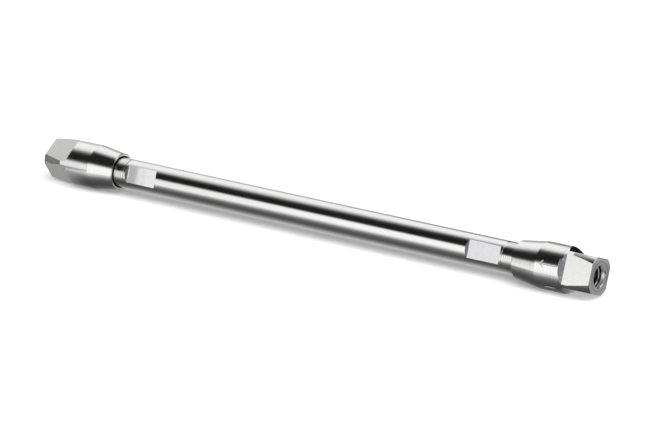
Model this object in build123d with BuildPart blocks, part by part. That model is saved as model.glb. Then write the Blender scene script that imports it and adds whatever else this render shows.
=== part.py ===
from build123d import *
import os
from math import cos, radians, sin, tan

# A packed chromatography column, lying with its axis along X.
# A thick steel tube holds the packed bed. An end fitting screws onto each end of the tube, and
# clamps a sintered frit in a plastic seal ring against the tube's end. Each fitting carries a
# threaded port with a conical ferrule seat for the capillary.
# +X points to the inlet, +Z is up, and the origin is at the middle of the axis. Millimetres.
# A half-section is written as (distance from the middle, radius), and revolved about X.

os.makedirs("parts", exist_ok=True)

# Column tube
bed_length = 125.0             # the packed length, which is the whole length of the tube
bore_diameter = 4.0
tube_diameter = 7.0
tube_thread_diameter = 6.7     # M7 x 0.5, drawn plain at its pitch diameter
exposed_thread_length = 3.2    # thread left bare outside each fitting
thread_land = 0.2              # full tube between the thread and the flats
tube_end_chamfer = 0.3
tube_flats_across = 5.7
tube_flat_length = 8.0
tube_flat_run_out = 0.5        # sloped end of a flat, along the axis
tube_flat_angle = 19.0         # of the front flats' normal, above the horizontal

# End fitting, outside: a lip, a widening cone, a round body, then four wrench flats
body_diameter = 10.5
lip_wall = 0.55
lip_chamfer = 0.12
cone_length = 6.4
body_length = 5.8
shoulder_land = 0.05           # between the body and the shoulder, so that the body's edge stays whole
shoulder_length = 0.95         # sloped start of a wrench flat, along the axis
wrench_across_flats = 8.0
corner_relief = 0.02           # the square's round corners are turned this much under the body
corner_length = 2.4            # of the round corners, from the body to their taper
corner_taper = 0.6             # what the corners lose in radius from the body to the end face
end_chamfer = 0.12             # round the outline of the end face
inlet_flat_angle = 21.4        # of a wrench flat's normal above the horizontal, as tightened
outlet_flat_angle = 56.1

# End fitting, inside: the socket for the tube, the seat for the frit, and the port
tube_engagement = 7.3          # length of tube inside each fitting
recess_gap = 0.3               # round the full tube diameter, at the lip
recess_depth = 1.5
distributor_depth = 0.3        # shallow cone that spreads the flow over the frit
distributor_margin = 0.1       # between the cone's rim and the bore's wall
passage_diameter = 0.5
passage_length = 0.9
pilot_diameter = 1.6           # socket for the end of a 1/16 inch capillary
pilot_depth = 1.2
ferrule_angle = 20.0           # half angle of the ferrule seat
port_thread_diameter = 4.83    # 10-32 UNF, drawn plain at its major diameter
port_thread_depth = 5.2
port_step = 0.4                # ledge between the thread and the ferrule seat
port_chamfer = 0.19            # widens the mouth

# Frit and seal ring
frit_thickness = 1.6
frit_overlap = 0.3             # of the frit over the bore's edge
seal_ring_wall = 0.8

# Radial clearances
thread_clearance = 0.03
seal_clearance = 0.03
frit_clearance = 0.02
bed_clearance = 0.02

# A cutter for a flat rises this many times the depth of the cut, to clear the round surface
cutter_rise = 1.5

# Radii
bore_radius = bore_diameter / 2
tube_radius = tube_diameter / 2
tube_thread_radius = tube_thread_diameter / 2
tube_flat_height = tube_flats_across / 2
body_radius = body_diameter / 2
corner_radius = body_radius - corner_relief
end_face_radius = body_radius - corner_taper
wrench_flat_height = wrench_across_flats / 2
recess_radius = tube_radius + recess_gap
lip_radius = recess_radius + lip_wall
socket_radius = tube_thread_radius + thread_clearance
frit_radius = bore_radius + frit_overlap
seal_inner_radius = frit_radius + frit_clearance
seal_outer_radius = seal_inner_radius + seal_ring_wall
seat_radius = seal_outer_radius + seal_clearance
distributor_radius = bore_radius - distributor_margin
passage_radius = passage_diameter / 2
pilot_radius = pilot_diameter / 2
port_radius = port_thread_diameter / 2
ferrule_mouth_radius = port_radius - port_step

# Distances from the middle of the column, the same at both ends
tube_end = bed_length / 2
thread_start = tube_end - tube_engagement - exposed_thread_length
tube_flat_outer = thread_start - thread_land - tube_flat_run_out
tube_flat_inner = tube_flat_outer - tube_flat_length
lip_face = tube_end - tube_engagement
body_start = lip_face + cone_length
body_end = body_start + body_length
wrench_flat_start = body_end + shoulder_land + shoulder_length
taper_start = body_end + corner_length
recess_floor = lip_face + recess_depth
socket_start = recess_floor + recess_radius - socket_radius
frit_back = tube_end + frit_thickness
passage_start = frit_back + distributor_depth
pilot_floor = passage_start + passage_length
ferrule_floor = pilot_floor + pilot_depth
port_floor = ferrule_floor + (ferrule_mouth_radius - pilot_radius) / tan(radians(ferrule_angle))
end_face = port_floor + port_thread_depth


def end_plane(end, angle):
    """A plane through the axis, for one end of the column (+1 inlet, -1 outlet).

    Its x runs outward along the axis, and its y points to the front, turned up by the angle.
    """
    turn = radians(angle)
    return Plane(
        origin=(0, 0, 0),
        x_dir=(end, 0, 0),
        z_dir=(0, -end * sin(turn), -end * cos(turn)),
    )


def finish(piece, node):
    """Label a finished piece and write its file."""
    piece.part.label = node
    export_step(piece.part, f"parts/{node}.step")


# Column tube: a threaded end and a pair of milled flats at each end
with BuildPart() as column_tube:
    with BuildSketch(Plane.XY):
        with BuildLine():
            Polyline(
                (0, bore_radius),
                (tube_end, bore_radius),
                (tube_end, tube_thread_radius - tube_end_chamfer),
                (tube_end - tube_end_chamfer, tube_thread_radius),
                (thread_start + tube_radius - tube_thread_radius, tube_thread_radius),
                (thread_start, tube_radius),
                (0, tube_radius),
                close=True,
            )
        make_face()
        mirror(about=Plane.YZ)
    revolve(axis=Axis.X)

    flat_cut = cutter_rise * (tube_radius - tube_flat_height)
    for end in (1, -1):
        for side_angle in (0, 180):
            with BuildSketch(end_plane(end, tube_flat_angle + side_angle)):
                with BuildLine():
                    Polyline(
                        (tube_flat_inner, tube_flat_height),
                        (tube_flat_outer, tube_flat_height),
                        (tube_flat_outer + cutter_rise * tube_flat_run_out, tube_flat_height + flat_cut),
                        (tube_flat_inner - cutter_rise * tube_flat_run_out, tube_flat_height + flat_cut),
                        close=True,
                    )
                make_face()
            extrude(amount=tube_diameter, both=True, mode=Mode.SUBTRACT)
finish(column_tube, "column_tube")

# Packed bed: fills the bore from frit to frit
with BuildPart() as packed_bed:
    with BuildSketch(Plane.YZ):
        Circle(bore_radius - bed_clearance)
    extrude(amount=bed_length / 2, both=True)
finish(packed_bed, "packed_bed")


def make_end_fitting(node, end, flat_angle):
    """One end fitting, with its first wrench flat turned up by the angle."""
    with BuildPart() as end_fitting:
        # Outside, as turned
        with BuildSketch(end_plane(end, 0)):
            with BuildLine():
                Polyline(
                    (lip_face, 0),
                    (lip_face, lip_radius - lip_chamfer),
                    (lip_face + lip_chamfer, lip_radius),
                    (body_start, body_radius),
                    (body_end, body_radius),
                    (body_end + shoulder_land, corner_radius),
                    (taper_start, corner_radius),
                    (end_face, end_face_radius),
                    (end_face, 0),
                    close=True,
                )
            make_face()
        revolve(axis=Axis.X)

        # Inside, from the lip to the mouth of the port
        with BuildSketch(end_plane(end, 0)):
            with BuildLine():
                Polyline(
                    (lip_face, 0),
                    (lip_face, recess_radius),
                    (recess_floor, recess_radius),
                    (socket_start, socket_radius),
                    (tube_end, socket_radius),
                    (tube_end, seat_radius),
                    (frit_back, seat_radius),
                    (frit_back, distributor_radius),
                    (passage_start, passage_radius),
                    (pilot_floor, passage_radius),
                    (pilot_floor, pilot_radius),
                    (ferrule_floor, pilot_radius),
                    (port_floor, ferrule_mouth_radius),
                    (port_floor, port_radius),
                    (end_face - port_chamfer, port_radius),
                    (end_face, port_radius + port_chamfer),
                    (end_face, 0),
                    close=True,
                )
            make_face()
        revolve(axis=Axis.X, mode=Mode.SUBTRACT)

        # Four wrench flats, each with a sloped shoulder, milled in from the end face
        cut = cutter_rise * (body_radius - wrench_flat_height)
        for quarter in range(4):
            with BuildSketch(end_plane(end, flat_angle + 90 * quarter)):
                with BuildLine():
                    Polyline(
                        (wrench_flat_start, wrench_flat_height),
                        (end_face + shoulder_length, wrench_flat_height),
                        (end_face + shoulder_length, wrench_flat_height + cut),
                        (wrench_flat_start - cutter_rise * shoulder_length, wrench_flat_height + cut),
                        close=True,
                    )
                make_face()
            extrude(amount=body_diameter, both=True, mode=Mode.SUBTRACT)

        end_outline = end_fitting.faces().sort_by(Axis((0, 0, 0), (end, 0, 0)))[-1].outer_wire()
        chamfer(end_outline.edges(), end_chamfer)
    finish(end_fitting, node)


def make_frit(node, end):
    """One frit: a sintered disc that covers the end of the bore."""
    with BuildPart() as frit:
        with BuildSketch(end_plane(end, 0)):
            with Locations(((tube_end + frit_back) / 2, frit_radius / 2)):
                Rectangle(frit_thickness, frit_radius)
        revolve(axis=Axis.X)
    finish(frit, node)


def make_seal_ring(node, end):
    """One seal ring, round the frit and against the end of the tube."""
    with BuildPart() as seal_ring:
        with BuildSketch(end_plane(end, 0)):
            with Locations(((tube_end + frit_back) / 2, (seal_inner_radius + seal_outer_radius) / 2)):
                Rectangle(frit_thickness, seal_ring_wall)
        revolve(axis=Axis.X)
    finish(seal_ring, node)


for name, end, flat_angle in (("inlet", 1, inlet_flat_angle), ("outlet", -1, outlet_flat_angle)):
    make_end_fitting(f"{name}_end_fitting", end, flat_angle)
    make_frit(f"{name}_frit", end)
    make_seal_ring(f"{name}_seal_ring", end)
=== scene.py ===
import math

import bmesh
import bpy
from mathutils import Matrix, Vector


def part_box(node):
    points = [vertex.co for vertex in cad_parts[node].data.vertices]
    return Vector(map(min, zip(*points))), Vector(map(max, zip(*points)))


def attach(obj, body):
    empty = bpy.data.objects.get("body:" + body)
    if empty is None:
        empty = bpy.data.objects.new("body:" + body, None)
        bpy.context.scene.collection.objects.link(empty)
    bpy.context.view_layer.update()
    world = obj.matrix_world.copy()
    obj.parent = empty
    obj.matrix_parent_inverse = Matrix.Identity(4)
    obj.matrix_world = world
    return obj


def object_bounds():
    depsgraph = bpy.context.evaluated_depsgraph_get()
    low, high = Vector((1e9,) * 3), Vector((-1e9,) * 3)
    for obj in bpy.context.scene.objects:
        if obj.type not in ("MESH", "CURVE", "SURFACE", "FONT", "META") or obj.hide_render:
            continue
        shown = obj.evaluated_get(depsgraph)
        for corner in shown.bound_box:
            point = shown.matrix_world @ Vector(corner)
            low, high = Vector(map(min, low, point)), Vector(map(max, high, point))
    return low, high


# The looks of an HPLC column: polished and milled steel, its bare threads and its engraved marks,
# on a pale floor in a light tent. Metres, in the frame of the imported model: +X to the inlet.

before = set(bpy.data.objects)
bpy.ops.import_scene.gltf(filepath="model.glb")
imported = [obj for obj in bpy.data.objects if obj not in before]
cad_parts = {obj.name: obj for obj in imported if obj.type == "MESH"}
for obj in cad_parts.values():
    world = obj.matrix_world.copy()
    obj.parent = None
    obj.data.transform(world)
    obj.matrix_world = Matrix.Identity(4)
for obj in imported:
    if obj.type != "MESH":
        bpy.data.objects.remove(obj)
cad_low, cad_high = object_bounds()

MM = 0.001
_, tube_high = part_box("column_tube")
inlet_low, inlet_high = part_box("inlet_end_fitting")

TUBE_RADIUS = tube_high.z
TUBE_END = tube_high.x
LIP_FACE = inlet_low.x
END_FACE = inlet_high.x
BODY_RADIUS = inlet_high.z

# Sizes that the boxes don't give
CONE_LENGTH = 6.4 * MM
BODY_LENGTH = 5.8 * MM
CORNER_LENGTH = 2.4 * MM        # round corners of the square, from the body to their taper
CORNER_TAPER = 0.6 * MM         # lost in radius from the body to the end face
EXPOSED_THREAD = 3.2 * MM
THREAD_BASE_RADIUS = 3.35 * MM  # the solid tube under its thread
RECESS_DEPTH = 1.5 * MM
RECESS_RADIUS = 3.8 * MM
PORT_RADIUS = 2.415 * MM
PORT_THREAD_DEPTH = 5.2 * MM

TUBE_THREAD_PITCH = 0.5 * MM    # M7 x 0.5
TUBE_THREAD_CREST = 3.49 * MM
TUBE_CREST_WIDTH = 0.85         # of a ridge's crest, in pitches
PORT_THREAD_PITCH = 0.794 * MM  # 10-32
PORT_THREAD_CREST = 2.06 * MM
PORT_CREST_WIDTH = 0.12
PORT_THREAD_INSET = 1.2 * MM    # from the end face to the first turn

BODY_END = LIP_FACE + CONE_LENGTH + BODY_LENGTH
TAPER_LENGTH = END_FACE - BODY_END - CORNER_LENGTH
THREAD_START = LIP_FACE - EXPOSED_THREAD


# ---------------------------------------------------------------- camera

CAMERA_AZIMUTH = math.radians(35.045)    # 0 looks along +Y
CAMERA_ELEVATION = math.radians(18.282)
CAMERA_DISTANCE = 773.83 * MM
CAMERA_AIM = Vector((3.246, 1.749, -1.308)) * MM
CAMERA_LENS = 186.63                     # on a sensor 36 mm wide


def make_camera():
    """The photographer's camera: level, and aimed near the middle of the column."""
    away = Vector((
        math.sin(CAMERA_AZIMUTH) * math.cos(CAMERA_ELEVATION),
        -math.cos(CAMERA_AZIMUTH) * math.cos(CAMERA_ELEVATION),
        math.sin(CAMERA_ELEVATION),
    ))
    data = bpy.data.cameras.new("camera")
    data.sensor_width = 36
    data.lens = CAMERA_LENS
    data.clip_start = 0.01
    data.clip_end = 50
    camera = bpy.data.objects.new("camera", data)
    bpy.context.scene.collection.objects.link(camera)
    camera.location = CAMERA_AIM + away * CAMERA_DISTANCE
    camera.rotation_mode = "QUATERNION"
    camera.rotation_quaternion = away.to_track_quat("Z", "Y")
    bpy.context.scene.camera = camera


# ---------------------------------------------------------------- node helpers

class Graph:
    """The node tree of a material or of the world, with short calls for the nodes used here.

    Every value or vector is a number, a tuple or the socket of another node.
    """

    def __init__(self, owner):
        owner.use_nodes = True
        self.tree = owner.node_tree
        self.tree.nodes.clear()

    def node(self, kind, inputs=None, **settings):
        """A node of a kind, with its settings, and with its inputs by name or number."""
        node = self.tree.nodes.new(kind)
        for key, value in settings.items():
            setattr(node, key, value)
        for key, value in (inputs or {}).items():
            if isinstance(value, bpy.types.NodeSocket):
                self.tree.links.new(value, node.inputs[key])
            else:
                node.inputs[key].default_value = value
        return node

    def math(self, operation, *values):
        return self.node("ShaderNodeMath", dict(enumerate(values)), operation=operation).outputs[0]

    def times(self, value, *factors):
        """The product of all that is given."""
        for factor in factors:
            value = self.math("MULTIPLY", value, factor)
        return value

    def plus(self, value, *terms):
        """The sum of all that is given."""
        for term in terms:
            value = self.math("ADD", value, term)
        return value

    def outside(self, mask):
        """1 where the mask is 0, and 0 where it is 1."""
        return self.math("SUBTRACT", 1.0, mask)

    def ramp(self, value, stops):
        """A grey ramp through (position, grey) stops, positions from 0 to 1."""
        node = self.node("ShaderNodeValToRGB", {"Fac": value})
        elements = node.color_ramp.elements
        while len(elements) < len(stops):
            elements.new(0.5)
        for element, (position, grey) in zip(elements, stops):
            element.position = position
            element.color = (grey, grey, grey, 1)
        return node.outputs["Color"]

    def smooth(self, value, low, high, to_low=0.0, to_high=1.0):
        """A smooth step, from to_low where the value is low to to_high where it is high."""
        inputs = {0: value, 1: low, 2: high, 3: to_low, 4: to_high}
        return self.node("ShaderNodeMapRange", inputs, interpolation_type="SMOOTHSTEP").outputs[0]

    def mix(self, factor, low, high):
        """low where the factor is 0, high where it is 1, as numbers."""
        inputs = {0: factor, 2: low, 3: high}
        return self.node("ShaderNodeMix", inputs, data_type="FLOAT").outputs[0]

    def mix_colour(self, factor, low, high, blend="MIX"):
        """low where the factor is 0 and high where it is 1, as colours."""
        inputs = {0: factor, 6: low, 7: high}
        return self.node("ShaderNodeMix", inputs, data_type="RGBA", blend_type=blend).outputs[2]

    def shade(self, colour, tone):
        """A colour times a number."""
        inputs = {0: colour, "Scale": tone}
        return self.node("ShaderNodeVectorMath", inputs, operation="SCALE").outputs[0]

    def place(self):
        """Where the point lies, in the frame."""
        return self.node("ShaderNodeTexCoord").outputs["Object"]

    def stretched(self, vector, scale):
        """A vector with each of its parts times that part of the scale."""
        inputs = {0: vector, 1: scale}
        return self.node("ShaderNodeVectorMath", inputs, operation="MULTIPLY").outputs[0]

    def position(self):
        """x, y, z and the distance from the column's axis, in the frame."""
        x, y, z = self.node("ShaderNodeSeparateXYZ", {0: self.place()}).outputs
        squares = self.plus(self.math("POWER", y, 2.0), self.math("POWER", z, 2.0))
        return x, y, z, self.math("SQRT", squares)

    def turn(self):
        """How far round the column's axis, from 0 to 1, with the front at a half."""
        _, y, z, _ = self.position()
        angle = self.math("ARCTAN2", z, self.times(y, -1.0))
        return self.plus(self.math("DIVIDE", angle, 2 * math.pi), 0.5)

    def axial_normal(self):
        """How far the surface faces along the axis, from 0 to 1."""
        normal = self.node("ShaderNodeTexCoord").outputs["Normal"]
        return self.math("ABSOLUTE", self.node("ShaderNodeSeparateXYZ", {0: normal}).outputs[0])

    def seen_directly(self):
        """1 for rays of the camera, and for those that metal or glass sends on."""
        path = self.node("ShaderNodeLightPath").outputs
        seen = self.math("MAXIMUM", path["Is Camera Ray"], path["Is Glossy Ray"])
        return self.math("MAXIMUM", seen, path["Is Transmission Ray"])

    def noise(self, vector, scale, detail=2.0, roughness=0.5):
        inputs = {"Vector": vector, "Scale": scale, "Detail": detail, "Roughness": roughness}
        return self.node("ShaderNodeTexNoise", inputs).outputs[0]

    def line_noise(self, value, scale, detail=2.0, roughness=0.5):
        """Noise that varies with one value alone."""
        inputs = {"W": value, "Scale": scale, "Detail": detail, "Roughness": roughness}
        return self.node("ShaderNodeTexNoise", inputs, noise_dimensions="1D").outputs[0]

    def cells(self, scale):
        """The distance from the middle of each of many small cells."""
        inputs = {"Vector": self.place(), "Scale": scale}
        return self.node("ShaderNodeTexVoronoi", inputs).outputs["Distance"]


def new_material(name):
    material = bpy.data.materials.new(name)
    return material, Graph(material)


# ---------------------------------------------------------------- studio

GLOW = 1.3                     # the brightest grey that a cloth, a card or the table can have
AMBIENT = 0.21                 # the world's light on the floor, where 1 is white

FLOOR_HALF_SIZE = 12.0
FLOOR_GREY = 0.9
FLOOR_LIFT = 0.11              # what the floor adds to its light where a ray sees it directly
FLOOR_FAR_LIFT = 0.8           # the same far from the column, where the softbox no longer reaches
FLOOR_FADE = (0.2, 1.5)        # distances from the axis, from the one lift to the other

# Painted light past each end of the column, which lightens its shadow there, as (side, from, to,
# lift)
FLOOR_END_PAINTED_LIGHTS = (
    (1, 57 * MM, 66 * MM, 0.11),
    (-1, 69 * MM, 79 * MM, 0.15),
)

TENT_RADIUS = 2.0
TENT_SEGMENTS = 96
TENT_OUTLET_END = -1.07        # places along the tent's axis, in tent radii
TENT_INLET_END = 1.5

# Greys of the outlet end's cloth, as (degrees above the front, grey)
OUTLET_END_GREYS = (
    (-180, 0.28), (-50, 0.28), (-25, 0.12), (15, 0.12),
    (26, 0.02), (64, 0.02), (82, 0.28), (180, 0.28),
)

# Greys of the inlet end's cloth, as (distance from the axis in tent radii, grey)
INLET_END_GREYS = ((0.0, 0.5), (0.37, 0.48), (0.45, 0.1), (0.82, 0.1), (0.92, 1.1), (1.0, 1.1))

# The black card overhead, and the white cloths in front of it and behind it
FRONT_WHITE = 1.24
FLOOR_WHITE = 1.2
REAR_WHITE = 1.14
LOW_REAR_WHITE = 1.12
CARD_GREY = 0.01
CARD_RIM_GREY = 0.03
CARD_FRONT_EDGE = 11           # degrees over which the front cloth falls to the card's grey
CARD_STEP = 4                  # degrees from each edge of the card to the next stop

# Grey of the rear cloth as it clears the card, along the card's soft edge
CARD_EDGE = (
    (0.0, 0.01), (0.22, 0.04), (0.4, 0.14), (0.53, 0.36), (0.66, 0.66), (0.82, 0.93), (1.0, 1.08),
)

# Painted shadow of the column on the table, on a sheet that only the metal sees, as (mm behind the
# axis, grey)
TABLE_HALF_LENGTH = 0.4
TABLE_HALF_WIDTH = 40 * MM
TABLE_SHADOW_GREYS = (
    (-40, 1.2), (-25, 1.1), (-20, 0.97), (-17, 0.82), (-14, 0.62), (-12, 0.42),
    (-10, 0.27), (-8, 0.17), (-5, 0.1), (-3.6, 0.125), (-2.3, 0.24), (-1.2, 0.4),
    (0, 0.46), (8, 0.4), (13, 0.3), (18, 0.5), (26, 1.0), (40, 1.1),
)
FITTING_TABLE_SHADOW_GREYS = (
    (-40, 1.2), (-25, 1.15), (-18, 1.0), (-15, 0.8), (-13, 0.58), (-11, 0.33),
    (-9, 0.18), (-7, 0.11), (-5, 0.07), (-3.4, 0.09), (-2, 0.16), (-0.8, 0.3),
    (1, 0.42), (8, 0.38), (14, 0.27), (22, 0.27), (30, 0.9), (40, 1.1),
)
FITTING_TABLE_FADE = (48 * MM, 56 * MM)   # from the middle, where a fitting's greys take over

# What it sees past the outlet end, where no shadow lies, with fades from further out to further in
TABLE_OUTLET_GREY = 0.39
TABLE_DARK_SHARE = 0.12
TABLE_DARK_FADE = (-106 * MM, -93 * MM)   # from the dark share of the grey to all of it
TABLE_PLAIN_FADE = (-80 * MM, -75 * MM)   # from the grey alone to the lighter of it and those above
TABLE_OUTLET_FADE = (-73 * MM, -64 * MM)  # from the lighter of it and those above to those above

KEY_ANGLE = math.radians(60)    # above the front
KEY_DISTANCE = 1.1
KEY_SIZE = (1.8, 1.5)
KEY_SIDE = 0.65                 # towards the inlet
KEY_POWER = 30.0


def make_world():
    """A white world for the camera and for polished metal, and soft light on all else."""
    world = bpy.data.worlds.new("world")
    bpy.context.scene.world = world
    graph = Graph(world)
    strength = graph.mix(graph.seen_directly(), AMBIENT, 1.0)
    background = graph.node("ShaderNodeBackground", {"Color": (1, 1, 1, 1), "Strength": strength})
    graph.node("ShaderNodeOutputWorld", {"Surface": background.outputs[0]})


def floor_material():
    """Matt white paper, lifted to a white background where nothing shades it."""
    material, graph = new_material("floor_paper")
    x, _, _, across = graph.position()
    lift = graph.smooth(across, *FLOOR_FADE, FLOOR_LIFT, FLOOR_FAR_LIFT)
    # Painted light past each end of the column, lightening its shadow there
    for side, near, far, end_painted_light in FLOOR_END_PAINTED_LIGHTS:
        past_end = graph.smooth(graph.times(x, side), near, far, 0.0, end_painted_light)
        lift = graph.plus(lift, past_end)
    lift = graph.times(graph.seen_directly(), lift)
    paper = graph.node("ShaderNodeBsdfDiffuse", {"Color": (FLOOR_GREY, FLOOR_GREY, FLOOR_GREY, 1)})
    glow = graph.node("ShaderNodeEmission", {"Strength": lift})
    both = graph.node("ShaderNodeAddShader", {0: paper.outputs[0], 1: glow.outputs[0]})
    graph.node("ShaderNodeOutputMaterial", {"Surface": both.outputs[0]})
    material.cycles.emission_sampling = "NONE"
    return material


def glow_material(name, paint):
    """A cloth, or the sheet of painted shadow, that glows with the grey that paint(graph) gives it.
    """
    material, graph = new_material(name)
    light = graph.node("ShaderNodeEmission", {"Color": paint(graph), "Strength": GLOW})
    graph.node("ShaderNodeOutputMaterial", {"Surface": light.outputs[0]})
    material.cycles.emission_sampling = "NONE"
    return material


def tent_bands(level, card_from, card_to, card_edge, horizon, rear_floor):
    """Greys round the tent at one place along it, as (degrees above the front, grey).

    The front is white up to the black card overhead. The rear cloth clears the card along a soft
    edge, with a strip of one grey above the rear horizon and the far floor's grey below it. The
    level scales the white in front, and the card's limits and soft edge are in degrees.
    """
    front = (
        (-180, rear_floor),
        (-90, FLOOR_WHITE * level),
        (card_from - CARD_FRONT_EDGE, FRONT_WHITE * level),
        (card_from, CARD_RIM_GREY),
        (card_from + CARD_STEP, CARD_GREY),
    )
    edge = tuple((card_to + card_edge * part, grey) for part, grey in CARD_EDGE)
    rear = (
        (card_to + card_edge + CARD_STEP, REAR_WHITE),
        (145, LOW_REAR_WHITE),
        (153, 0.6 * horizon + 0.2),
        (160, horizon),
        (176, horizon),
        (180, rear_floor),
    )
    return front + edge + rear


# What the mouth of the inlet port sees: white in front, and the card over all behind it
PORT_BANDS = ((-180, 0.05), (-90, 1.2), (56, 1.24), (68, 0.03), (180, 0.01))

# The bands at places along the tent, in tent radii from the column's middle
TENT_STATIONS = (
    (-0.93, tent_bands(0.95, 26, 59, 44, 0.7, 0.8)),
    (-0.8, tent_bands(0.74, 26, 59, 44, 0.7, 0.8)),
    (-0.67, tent_bands(1.0, 31, 57, 54, 0.5, 1.1)),
    (-0.55, tent_bands(1.0, 31, 77, 30, 0.3, 0.6)),
    (-0.43, tent_bands(1.0, 31, 77, 30, 0.3, 0.6)),
    (-0.36, tent_bands(1.0, 31, 86, 40, 0.2, 0.4)),
    (-0.2, tent_bands(1.0, 31, 86, 40, 0.02, 0.05)),
    (0.1, PORT_BANDS),
    (0.33, PORT_BANDS),
    (0.6, tent_bands(1.0, 31, 77, 30, 0.3, 0.6)),
)


def round_ramp(graph, turn, bands):
    """A ramp round the axis, through bands of (degrees above the front, grey)."""
    return graph.ramp(turn, [((degrees + 180) / 360, grey / GLOW) for degrees, grey in bands])


def paint_tent(graph):
    """The bands of each station, blended from one station to the next."""
    x, _, _, _ = graph.position()
    along = graph.math("DIVIDE", x, TENT_RADIUS)
    turn = graph.turn()
    last_place, bands = TENT_STATIONS[0]
    colour = round_ramp(graph, turn, bands)
    for place, bands in TENT_STATIONS[1:]:
        nearer = graph.smooth(along, last_place, place)
        colour = graph.mix_colour(nearer, colour, round_ramp(graph, turn, bands))
        last_place = place
    return colour


def paint_outlet_end(graph):
    return round_ramp(graph, graph.turn(), OUTLET_END_GREYS)


def paint_inlet_end(graph):
    _, _, _, radius = graph.position()
    outward = graph.math("DIVIDE", radius, TENT_RADIUS)
    return graph.ramp(outward, [(place, grey / GLOW) for place, grey in INLET_END_GREYS])


def table_ramp(graph, y, greys):
    """A ramp across the table, through (mm behind the axis, grey)."""
    width = 2 * TABLE_HALF_WIDTH
    across = graph.plus(graph.math("DIVIDE", y, width), 0.5)
    return graph.ramp(across, [(0.5 + place * MM / width, grey / GLOW) for place, grey in greys])


def paint_table_shadow(graph):
    """Painted shadow beside the column, then a plain grey past its outlet end, and the dark beyond.
    """
    x, y, _, _ = graph.position()
    by_fitting = graph.smooth(graph.math("ABSOLUTE", x), *FITTING_TABLE_FADE)
    tube_greys = table_ramp(graph, y, TABLE_SHADOW_GREYS)
    fitting_greys = table_ramp(graph, y, FITTING_TABLE_SHADOW_GREYS)
    beside = graph.mix_colour(by_fitting, tube_greys, fitting_greys)
    grey = TABLE_OUTLET_GREY / GLOW
    plain = graph.node("ShaderNodeCombineColor", {0: grey, 1: grey, 2: grey}).outputs[0]
    lighter = graph.mix_colour(1.0, beside, plain, "LIGHTEN")
    lit = graph.mix_colour(graph.smooth(x, *TABLE_OUTLET_FADE), lighter, beside)
    lit = graph.mix_colour(graph.smooth(x, *TABLE_PLAIN_FADE), plain, lit)
    return graph.shade(lit, graph.smooth(x, *TABLE_DARK_FADE, TABLE_DARK_SHARE, 1.0))


def new_object(name, points, faces, material):
    mesh = bpy.data.meshes.new(name)
    mesh.from_pydata(points, [], faces)
    mesh.materials.append(material)
    mesh.update()
    thing = bpy.data.objects.new(name, mesh)
    bpy.context.scene.collection.objects.link(thing)
    return thing


def only_in_reflections(thing):
    """Polished metal sees it, and nothing else does."""
    thing.visible_camera = False
    thing.visible_diffuse = False
    thing.visible_transmission = False
    thing.visible_volume_scatter = False
    thing.visible_shadow = False


def level_sheet(name, half_length, half_width, material):
    """A level rectangle at the height that the column rests on."""
    corners = ((-1, -1), (1, -1), (1, 1), (-1, 1))
    points = [(half_length * i, half_width * j, cad_low.z) for i, j in corners]
    return new_object(name, points, [(0, 1, 2, 3)], material)


def make_floor():
    """The floor that the camera sees, and the painted shadow on the table that only the metal sees.
    """
    floor = level_sheet("floor", FLOOR_HALF_SIZE, FLOOR_HALF_SIZE, floor_material())
    floor.visible_glossy = False
    # A sheet that only the metal sees, painted with the column's shadow on the table
    table_shadow_sheet = glow_material("table_shadow_sheet", paint_table_shadow)
    only_in_reflections(level_sheet("table_shadow_sheet", TABLE_HALF_LENGTH, TABLE_HALF_WIDTH, table_shadow_sheet))


def make_tent():
    """A long round tent about the column's axis, with a cloth across each end."""
    ring = [2 * math.pi * step / TENT_SEGMENTS for step in range(TENT_SEGMENTS)]
    circle = [(TENT_RADIUS * math.cos(angle), TENT_RADIUS * math.sin(angle)) for angle in ring]
    ends = [place * TENT_RADIUS for place in (TENT_OUTLET_END, TENT_INLET_END)]
    points = [(x, y, z) for x in ends for y, z in circle]
    faces = [
        (i, (i + 1) % TENT_SEGMENTS, TENT_SEGMENTS + (i + 1) % TENT_SEGMENTS, TENT_SEGMENTS + i)
        for i in range(TENT_SEGMENTS)
    ]
    only_in_reflections(new_object("tent", points, faces, glow_material("tent_cloth", paint_tent)))
    whole_disc = [tuple(range(TENT_SEGMENTS))]
    for name, x, paint in zip(("outlet", "inlet"), ends, (paint_outlet_end, paint_inlet_end)):
        disc = [(x, y, z) for y, z in circle]
        cloth = glow_material(f"tent_{name}_cloth", paint)
        only_in_reflections(new_object(f"tent_{name}_end", disc, whole_disc, cloth))


def make_key_light():
    """A large softbox above and in front, whose soft shadow lies under and behind the column."""
    data = bpy.data.lights.new("key_softbox", "AREA")
    data.shape = "RECTANGLE"
    data.size, data.size_y = KEY_SIZE
    data.energy = KEY_POWER
    light = bpy.data.objects.new("key_softbox", data)
    bpy.context.scene.collection.objects.link(light)
    towards = Vector((KEY_SIDE, -math.cos(KEY_ANGLE), math.sin(KEY_ANGLE))).normalized()
    light.location = towards * KEY_DISTANCE
    light.rotation_mode = "QUATERNION"
    light.rotation_quaternion = towards.to_track_quat("Z", "Y")
    light.visible_camera = False
    light.visible_glossy = False


# ---------------------------------------------------------------- materials of the column

# Heights of the marks, as bumps, in metres
POLISH_HEIGHT = 0.0004 * MM
TURNED_HEIGHT = 0.0030 * MM
FACED_HEIGHT = 0.0016 * MM
MILLED_HEIGHT = 0.0007 * MM
GRAIN_HEIGHT = 0.0004 * MM
FRIT_GRAIN_HEIGHT = 0.03 * MM
BEAD_HEIGHT = 0.02 * MM

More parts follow.
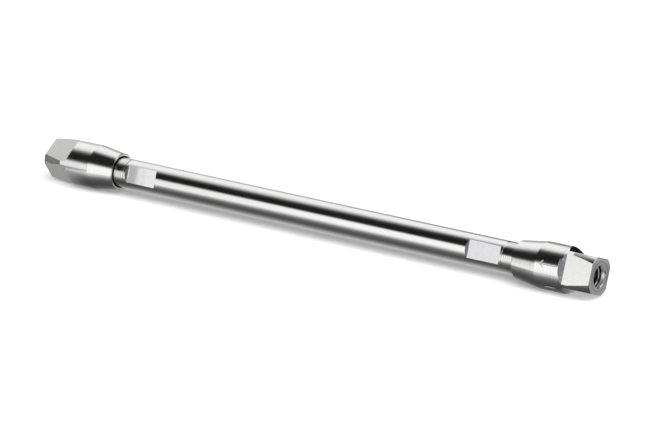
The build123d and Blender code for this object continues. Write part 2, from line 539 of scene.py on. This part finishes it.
# Scales of the marks, in cells per metre
POLISH_SCALE = 2600
POLISH_CLOUD_SCALE = 160
SCRATCH_SCALE = 1500
TUBE_ARC_SCALE = 3200
TUBE_GRAIN_SCALE = 2400
TUBE_MOTTLE_SCALE = 1000
FINE_TURNING_SCALE = 4200
BROAD_TURNING_SCALE = 1300
RINGS_SCALE = 1700
FITTING_ARC_SCALE = 3000
FITTING_GRAIN_SCALE = 2600
FITTING_MOTTLE_SCALE = 1100
ENGRAVING_SCALE = 9000
FRIT_GRAIN_SCALE = 9000
PLASTIC_MARK_SCALE = 4000
PLASTIC_CLOUD_SCALE = 700
BEAD_SCALE = 14000
BED_CLOUD_SCALE = 900

ROUND_METAL = (0.762, 0.76, 0.757, 1)
THREAD_METAL = (0.775, 0.77, 0.755, 1)
# One finish on the tube's flats, painted darker at the inlet end (painted shade) and lighter at the
# outlet end (painted light)
INLET_FLAT_SHADED_METAL = (0.64, 0.64, 0.652, 1)
OUTLET_FLAT_LIT_METAL = (0.86, 0.855, 0.86, 1)
WRENCH_FLAT_METAL = (0.785, 0.785, 0.78, 1)
SHOULDER_METAL = (0.715, 0.725, 0.742, 1)
TAN_PLASTIC = (0.62, 0.50, 0.34)
WHITE_SILICA = (0.88, 0.87, 0.84)

TUBE_THREAD_ROUGHNESS = 0.17
SHOULDER_ROUGHNESS = 0.18
FACE_ROUGHNESS = 0.26
PORT_MOUTH_ROUGHNESS = 0.4

# Painted shade in the grooves of the tube's thread
TUBE_GROOVE_PAINTED_SHADE = 0.88
TUBE_GAP_PAINTED_SHADE = 0.15            # painted shade on the tube, inside a fitting
FITTING_GAP_PAINTED_SHADE = 0.12         # painted shade on a fitting, round the tube
# A painted highlight on the port thread's crests, and painted shade in its grooves
PORT_CREST_PAINTED_HIGHLIGHT = 1.25
PORT_GROOVE_PAINTED_SHADE = 0.35

# Where a mask goes from 0 to 1: by the distance from the middle or from the end face, by radius,
# or by how far the surface faces along the axis
EDGE = 0.02 * MM
BELOW_TUBE = (TUBE_RADIUS - EDGE / 2, TUBE_RADIUS - EDGE)
ON_TUBE_THREAD = (THREAD_START - 0.1 * MM, THREAD_START)
IN_TUBE_GROOVE = (TUBE_THREAD_CREST, THREAD_BASE_RADIUS)
BEHIND_LIP = (LIP_FACE, LIP_FACE + 0.2 * MM)
PAST_BODY = (BODY_END + 0.02 * MM, BODY_END + 0.07 * MM)
INSIDE_RECESS = (RECESS_RADIUS + 2 * EDGE, RECESS_RADIUS + EDGE)
SHORT_OF_TUBE_END = (TUBE_END, TUBE_END - EDGE)
CLEAR_OF_PORT = (PORT_RADIUS + 0.3 * MM, PORT_RADIUS + 0.4 * MM)
INSIDE_PORT = (PORT_RADIUS + 0.03 * MM, PORT_RADIUS + 0.01 * MM)
PAST_PORT_MOUTH = (PORT_THREAD_INSET - 0.3 * MM, PORT_THREAD_INSET)
IN_PORT_GROOVE = (PORT_THREAD_CREST + 0.06 * MM, PORT_RADIUS - 0.05 * MM)
SLOPE_FACING = (0.2, 0.4)
SHOULDER_FACING = (0.45, 0.6)
END_FACING = (0.88, 0.94)
INLET_HALF = (-1 * MM, 1 * MM)

# The bump leans a tube flat outward near its outer end, and leans the mouth of a port open
FLAT_LEAN = math.tan(math.radians(5.0))
FLAT_LEAN_START = THREAD_START - 4.4 * MM
FLAT_LEAN_BLEND = 2.0 * MM
PORT_LEAD_IN = math.tan(math.radians(30))

CUTTER_RADIUS = 7.0 * MM        # of the mill that cut the flats, whose marks are its arcs


def arc_place(graph, along, radius):
    """A distance along the axis that bends into a milling cutter's arcs across a flat."""
    return graph.plus(along, graph.times(radius, radius, 1 / (2 * CUTTER_RADIUS)))


def surface(graph, colour, roughness, height, metallic=0.0):
    """The material's surface, with bumps by a height in metres."""
    bump = graph.node("ShaderNodeBump", {"Strength": 1.0, "Distance": 1.0, "Height": height})
    shader = graph.node("ShaderNodeBsdfPrincipled", {
        "Base Color": colour,
        "Metallic": metallic,
        "Roughness": roughness,
        "Normal": bump.outputs[0],
    })
    graph.node("ShaderNodeOutputMaterial", {"Surface": shader.outputs[0]})


def tube_steel():
    """Ground and polished tube, with satin milled flats and a bare thread near both ends."""
    material, graph = new_material("tube_steel")
    x, _, _, radius = graph.position()
    along = graph.math("ABSOLUTE", x)
    place = graph.place()

    # Where the surface is thread, and where it is a flat
    on_thread = graph.smooth(along, *ON_TUBE_THREAD)
    in_groove = graph.times(on_thread, graph.smooth(radius, *IN_TUBE_GROOVE))
    in_shaded_gap = graph.smooth(along, *BEHIND_LIP)
    on_flat = graph.times(graph.smooth(radius, *BELOW_TUBE), graph.outside(on_thread))
    on_slope = graph.times(on_flat, graph.smooth(graph.axial_normal(), *SLOPE_FACING))

    # Polishing marks run round the tube, with a few faint scratches along it
    polish = graph.line_noise(x, POLISH_SCALE, 4.0, 0.6)
    cloud = graph.noise(place, POLISH_CLOUD_SCALE, 3.0)
    long_place = graph.stretched(place, (0.03, 1.0, 1.0))
    scratch = graph.smooth(graph.noise(long_place, SCRATCH_SCALE, 3.0), 0.6, 0.72)

    # The cutter's marks on a flat are arcs, over a fine grain
    arcs = graph.line_noise(arc_place(graph, along, radius), TUBE_ARC_SCALE, 3.0, 0.6)
    grain = graph.noise(place, TUBE_GRAIN_SCALE, 3.0, 0.6)
    mottle = graph.noise(place, TUBE_MOTTLE_SCALE, 4.0, 0.65)

    milled_tone = graph.times(graph.mix(grain, 0.94, 1.02), graph.mix(mottle, 0.93, 1.06))
    tone = graph.mix(on_flat, graph.mix(cloud, 0.985, 1.015), milled_tone)
    # Painted shade in the grooves of the tube's thread
    tone = graph.times(tone, graph.mix(in_groove, 1.0, TUBE_GROOVE_PAINTED_SHADE))
    # Painted shade on the tube inside a fitting
    tone = graph.times(tone, graph.mix(in_shaded_gap, 1.0, TUBE_GAP_PAINTED_SHADE))
    # Painted shade on the inlet end's flats and painted light on the outlet end's, of one finish
    flat_metal = graph.mix_colour(graph.smooth(x, *INLET_HALF), OUTLET_FLAT_LIT_METAL, INLET_FLAT_SHADED_METAL)
    metal = graph.mix_colour(on_flat, ROUND_METAL, flat_metal)
    metal = graph.mix_colour(on_thread, metal, THREAD_METAL)

    roughness = graph.mix(on_flat, graph.mix(cloud, 0.14, 0.18), graph.mix(arcs, 0.12, 0.19))
    roughness = graph.mix(on_thread, roughness, TUBE_THREAD_ROUGHNESS)

    polished = graph.plus(graph.times(polish, POLISH_HEIGHT), graph.times(scratch, -POLISH_HEIGHT))
    milled = graph.plus(graph.times(arcs, MILLED_HEIGHT), graph.times(grain, GRAIN_HEIGHT))
    past_lean_start = graph.math("SUBTRACT", along, FLAT_LEAN_START)
    lean = graph.times(graph.math("SMOOTH_MAX", past_lean_start, 0.0, FLAT_LEAN_BLEND), -FLAT_LEAN)
    flat_height = graph.plus(milled, graph.mix(on_slope, lean, 0.0))
    height = graph.mix(on_flat, polished, flat_height)
    surface(graph, graph.shade(metal, tone), roughness, height, metallic=1.0)
    return material


def fitting_steel():
    """Turned fitting, with faced ends, milled wrench flats and a tapped port."""
    material, graph = new_material("fitting_steel")
    x, _, _, radius = graph.position()
    along = graph.math("ABSOLUTE", x)
    depth = graph.math("SUBTRACT", END_FACE, along)
    place = graph.place()
    facing = graph.axial_normal()

    # Faced ends, then milled shoulders and flats, which lie under the corners' own radius
    on_face = graph.smooth(facing, *END_FACING)
    past_body = graph.smooth(along, *PAST_BODY)
    on_slope = graph.smooth(facing, *SHOULDER_FACING)
    on_shoulder = graph.times(past_body, on_slope, graph.outside(on_face))
    past_taper = graph.math("MAXIMUM", graph.math("SUBTRACT", along, BODY_END + CORNER_LENGTH), 0.0)
    taper = graph.times(past_taper, CORNER_TAPER / TAPER_LENGTH)
    corner = graph.math("SUBTRACT", BODY_RADIUS - 2 * EDGE, taper)
    under_corner = graph.smooth(graph.math("SUBTRACT", corner, radius), 0.0, EDGE)
    clear_of_port = graph.smooth(radius, *CLEAR_OF_PORT)
    on_flat = graph.times(past_body, under_corner, graph.outside(on_face), clear_of_port)

    # The port, and the gap round the tube, where shade is painted
    inside_port = graph.smooth(radius, *INSIDE_PORT)
    on_port_thread = graph.times(inside_port, graph.smooth(depth, *PAST_PORT_MOUTH))
    in_mouth = graph.math("SUBTRACT", inside_port, on_port_thread)
    in_groove = graph.smooth(radius, *IN_PORT_GROOVE)
    inside_recess = graph.smooth(radius, *INSIDE_RECESS)
    in_shaded_gap = graph.times(inside_recess, graph.smooth(along, *SHORT_OF_TUBE_END))

    # Tool marks: lines round the turned surfaces, rings on the faces and arcs on what was milled
    fine_turning = graph.line_noise(x, FINE_TURNING_SCALE, 3.0, 0.65)
    broad_turning = graph.line_noise(x, BROAD_TURNING_SCALE, 2.0, 0.5)
    rings = graph.line_noise(radius, RINGS_SCALE, 4.0, 0.7)
    arcs = graph.line_noise(arc_place(graph, along, radius), FITTING_ARC_SCALE, 3.0, 0.6)
    grain = graph.noise(place, FITTING_GRAIN_SCALE, 4.0, 0.65)
    mottle = graph.noise(place, FITTING_MOTTLE_SCALE, 4.0, 0.65)

    turned_tone = graph.times(graph.mix(fine_turning, 0.83, 1.19), graph.mix(grain, 0.92, 1.07))
    milled_tone = graph.times(graph.mix(mottle, 0.91, 1.1), graph.mix(grain, 0.92, 1.09))
    # A painted highlight on the port thread's crests, and painted shade in its grooves
    port_painted_light = graph.mix(in_groove, PORT_CREST_PAINTED_HIGHLIGHT, PORT_GROOVE_PAINTED_SHADE)
    tone = graph.mix(on_flat, turned_tone, milled_tone)
    tone = graph.mix(on_shoulder, tone, graph.mix(arcs, 0.45, 1.35))
    tone = graph.mix(on_face, tone, graph.smooth(rings, 0.35, 0.65, 0.72, 1.1))
    tone = graph.times(tone, graph.mix(on_port_thread, 1.0, port_painted_light))
    # Painted shade in the gap round the tube
    tone = graph.times(tone, graph.mix(in_shaded_gap, 1.0, FITTING_GAP_PAINTED_SHADE))
    metal = graph.mix_colour(on_flat, ROUND_METAL, WRENCH_FLAT_METAL)
    metal = graph.mix_colour(on_shoulder, metal, SHOULDER_METAL)

    roughness = graph.mix(on_flat, graph.mix(fine_turning, 0.14, 0.2), graph.mix(mottle, 0.13, 0.2))
    roughness = graph.mix(on_shoulder, roughness, SHOULDER_ROUGHNESS)
    roughness = graph.mix(on_face, roughness, FACE_ROUGHNESS)
    roughness = graph.mix(in_mouth, roughness, PORT_MOUTH_ROUGHNESS)

    turned = graph.times(fine_turning, TURNED_HEIGHT / 2)
    turned = graph.plus(turned, graph.times(broad_turning, TURNED_HEIGHT))
    milled = graph.plus(graph.times(arcs, MILLED_HEIGHT), graph.times(grain, GRAIN_HEIGHT))
    height = graph.mix(on_flat, turned, milled)
    height = graph.mix(on_face, height, graph.times(rings, FACED_HEIGHT))
    lead_in = graph.mix(in_mouth, 0.0, graph.times(depth, PORT_LEAD_IN))
    height = graph.plus(height, lead_in)
    surface(graph, graph.shade(metal, tone), roughness, height, metallic=1.0)
    return material


def engraved_steel():
    """Frosted lines of the engraved marks, paler and duller than the steel about them."""
    material, graph = new_material("engraved_steel")
    grain = graph.noise(graph.place(), ENGRAVING_SCALE, 3.0, 0.6)
    colour = graph.ramp(grain, ((0.0, 0.72), (1.0, 0.95)))
    height = graph.times(grain, GRAIN_HEIGHT)
    surface(graph, colour, graph.mix(grain, 0.3, 0.42), height, metallic=1.0)
    return material


def sintered_steel():
    """Frit: small grains of steel pressed and fused, with pores between them."""
    material, graph = new_material("sintered_steel")
    grains = graph.cells(FRIT_GRAIN_SCALE)
    pore = graph.smooth(grains, 0.35, 0.75)
    colour = graph.ramp(pore, ((0.0, 0.58), (0.6, 0.42), (1.0, 0.12)))
    height = graph.times(grains, -FRIT_GRAIN_HEIGHT)
    surface(graph, colour, graph.mix(pore, 0.38, 0.7), height, metallic=1.0)
    return material


def ring_plastic():
    """Seal ring: tan plastic, turned, with a dull sheen."""
    material, graph = new_material("ring_plastic")
    _, _, _, radius = graph.position()
    marks = graph.line_noise(radius, PLASTIC_MARK_SCALE, 3.0, 0.6)
    cloud = graph.noise(graph.place(), PLASTIC_CLOUD_SCALE, 3.0)
    tone = graph.times(graph.mix(cloud, 0.92, 1.04), graph.mix(marks, 0.96, 1.02))
    height = graph.times(marks, FACED_HEIGHT)
    surface(graph, graph.shade(TAN_PLASTIC, tone), graph.mix(cloud, 0.38, 0.5), height)
    return material


def bed_beads():
    """Packed bed: fine white silica, pressed into a cake."""
    material, graph = new_material("bed_beads")
    beads = graph.cells(BEAD_SCALE)
    cloud = graph.noise(graph.place(), BED_CLOUD_SCALE, 3.0)
    tone = graph.times(graph.mix(cloud, 0.94, 1.02), graph.smooth(beads, 1.0, 0.3, 0.75, 1.0))
    height = graph.times(beads, -BEAD_HEIGHT)
    surface(graph, graph.shade(WHITE_SILICA, tone), graph.mix(cloud, 0.8, 0.95), height)
    return material


def set_material(node, material):
    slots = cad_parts[node].data.materials
    if len(slots) == 0:
        slots.append(material)
    for index in range(len(slots)):
        slots[index] = material


def dress_nodes(tube, fitting):
    """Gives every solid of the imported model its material."""
    set_material("column_tube", tube)
    set_material("packed_bed", bed_beads())
    frit = sintered_steel()
    ring = ring_plastic()
    for end in ("inlet", "outlet"):
        set_material(f"{end}_end_fitting", fitting)
        set_material(f"{end}_frit", frit)
        set_material(f"{end}_seal_ring", ring)


# ---------------------------------------------------------------- threads and engraved marks

SHARP_ANGLE = math.radians(35)  # a strip's edges that turn more than this stay sharp

TURN_STEPS = 72                 # of a thread's ridge, in one turn
RIDGE_FADE_STEPS = TURN_STEPS / 2    # over which a ridge rises at each end
RIDGE_SINK = 0.02 * MM          # how far a ridge's foot lies in the metal that carries it


def closed_strip(name, points, corners, material):
    """A closed strip through sections of so many corners, smooth between its sharp edges."""
    last = len(points) - corners
    faces = []
    for first in range(0, last, corners):
        for side in range(corners):
            near, far = first + side, first + (side + 1) % corners
            faces.append((near, far, far + corners, near + corners))
    faces.append(tuple(range(corners)))
    faces.append(tuple(range(last, last + corners)))
    strip = new_object(name, points, faces, material)
    mesh = bmesh.new()
    mesh.from_mesh(strip.data)
    bmesh.ops.recalc_face_normals(mesh, faces=mesh.faces)
    mesh.to_mesh(strip.data)
    mesh.free()
    strip.data.shade_smooth()
    strip.data.set_sharp_from_angle(angle=SHARP_ANGLE)
    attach(strip, "root")
    return strip


def helical_ridge(name, start, end, pitch, base, crest, crest_width, material):
    """A right-hand thread ridge round the axis from x = start to x = end, faded in and out."""
    turns = (end - start) / pitch
    steps = math.ceil(turns * TURN_STEPS)
    foot = base + math.copysign(RIDGE_SINK, base - crest)
    foot_width = (1 + crest_width) / 2
    points = []
    for step in range(steps + 1):
        along = start + (end - start) * step / steps
        angle = -2 * math.pi * turns * step / steps
        fade = min(1.0, step / RIDGE_FADE_STEPS, (steps - step) / RIDGE_FADE_STEPS)
        top = base + (crest - base) * fade
        for offset, radius in (
            (-foot_width, foot), (-crest_width, top), (crest_width, top), (foot_width, foot),
        ):
            x = along + offset * pitch / 2
            points.append((x, radius * math.cos(angle), radius * math.sin(angle)))
    return closed_strip(name, points, 4, material)


def make_threads(tube_material, fitting_material):
    """The tube's thread, bare outside each fitting, and the thread in each port."""
    tube_margin = TUBE_THREAD_PITCH / 2
    port_margin = PORT_THREAD_PITCH / 2
    for end, side in (("inlet", 1), ("outlet", -1)):
        tube_span = sorted((
            side * (THREAD_START + tube_margin),
            side * (LIP_FACE + RECESS_DEPTH - tube_margin),
        ))
        ridge = helical_ridge(
            f"{end}_tube_thread", *tube_span, TUBE_THREAD_PITCH,
            THREAD_BASE_RADIUS, TUBE_THREAD_CREST, TUBE_CREST_WIDTH, tube_material,
        )
        port_span = sorted((
            side * (END_FACE - PORT_THREAD_DEPTH + port_margin),
            side * (END_FACE - PORT_THREAD_INSET),
        ))
        ridge = helical_ridge(
            f"{end}_port_thread", *port_span, PORT_THREAD_PITCH,
            PORT_RADIUS, PORT_THREAD_CREST, PORT_CREST_WIDTH, fitting_material,
        )


GROOVE_WIDTH = 0.3 * MM
BURR_HEIGHT = 0.04 * MM
STROKE_STEPS = 24
STROKE_FADE = 1 / 8             # of a stroke's length, over which its burrs rise at each end

# Section of a stroke, as (across in groove widths, height in burr heights)
STROKE_SECTION = ((-0.5, -1.0), (-0.27, 1.0), (0.0, 0.15), (0.27, 1.0), (0.5, -1.0))

# Places on the inlet fitting's round body, as (x, degrees above the front)
ARROW_TIP = (62.84 * MM, 23.0)
ARROW_TAIL = (67.24 * MM, 23.0)
ARROW_UPPER_BARB = (63.61 * MM, 31.4)
ARROW_LOWER_BARB = (63.75 * MM, 15.3)
MARK_ENDS = ((63.6 * MM, -39.9), (66.7 * MM, -37.6))


def engraved_stroke(name, first, last, material):
    """A fine groove with a raised burr along each side, on the inlet fitting's round body."""
    x_run = last[0] - first[0]
    arc_run = math.radians(last[1] - first[1]) * BODY_RADIUS
    length = math.hypot(x_run, arc_run)
    across_x, across_arc = -arc_run / length, x_run / length
    points = []
    for step in range(STROKE_STEPS + 1):
        t = step / STROKE_STEPS
        fade = min(1.0, t / STROKE_FADE, (1 - t) / STROKE_FADE)
        for across, height in STROKE_SECTION:
            x = first[0] + x_run * t + across * GROOVE_WIDTH * across_x
            arc = arc_run * t + across * GROOVE_WIDTH * across_arc
            turn = math.radians(first[1]) + arc / BODY_RADIUS
            radius = BODY_RADIUS + BURR_HEIGHT * (height * fade if height > 0 else height)
            points.append((x, -radius * math.cos(turn), radius * math.sin(turn)))
    stroke = closed_strip(name, points, len(STROKE_SECTION), material)


def make_marks():
    """A plain flow arrow that points into the column, and a short line below it."""
    material = engraved_steel()
    for name, first, last in (
        ("arrow_shaft", ARROW_TIP, ARROW_TAIL),
        ("arrow_upper_barb", ARROW_TIP, ARROW_UPPER_BARB),
        ("arrow_lower_barb", ARROW_TIP, ARROW_LOWER_BARB),
        ("mark_line", *MARK_ENDS),
    ):
        engraved_stroke(name, first, last, material)


# ---------------------------------------------------------------- the scene

make_camera()
make_world()
make_floor()
make_tent()
make_key_light()
tube_material = tube_steel()
fitting_material = fitting_steel()
dress_nodes(tube_material, fitting_material)
make_threads(tube_material, fitting_material)
make_marks()

bpy.context.scene.view_settings.view_transform = "Standard"
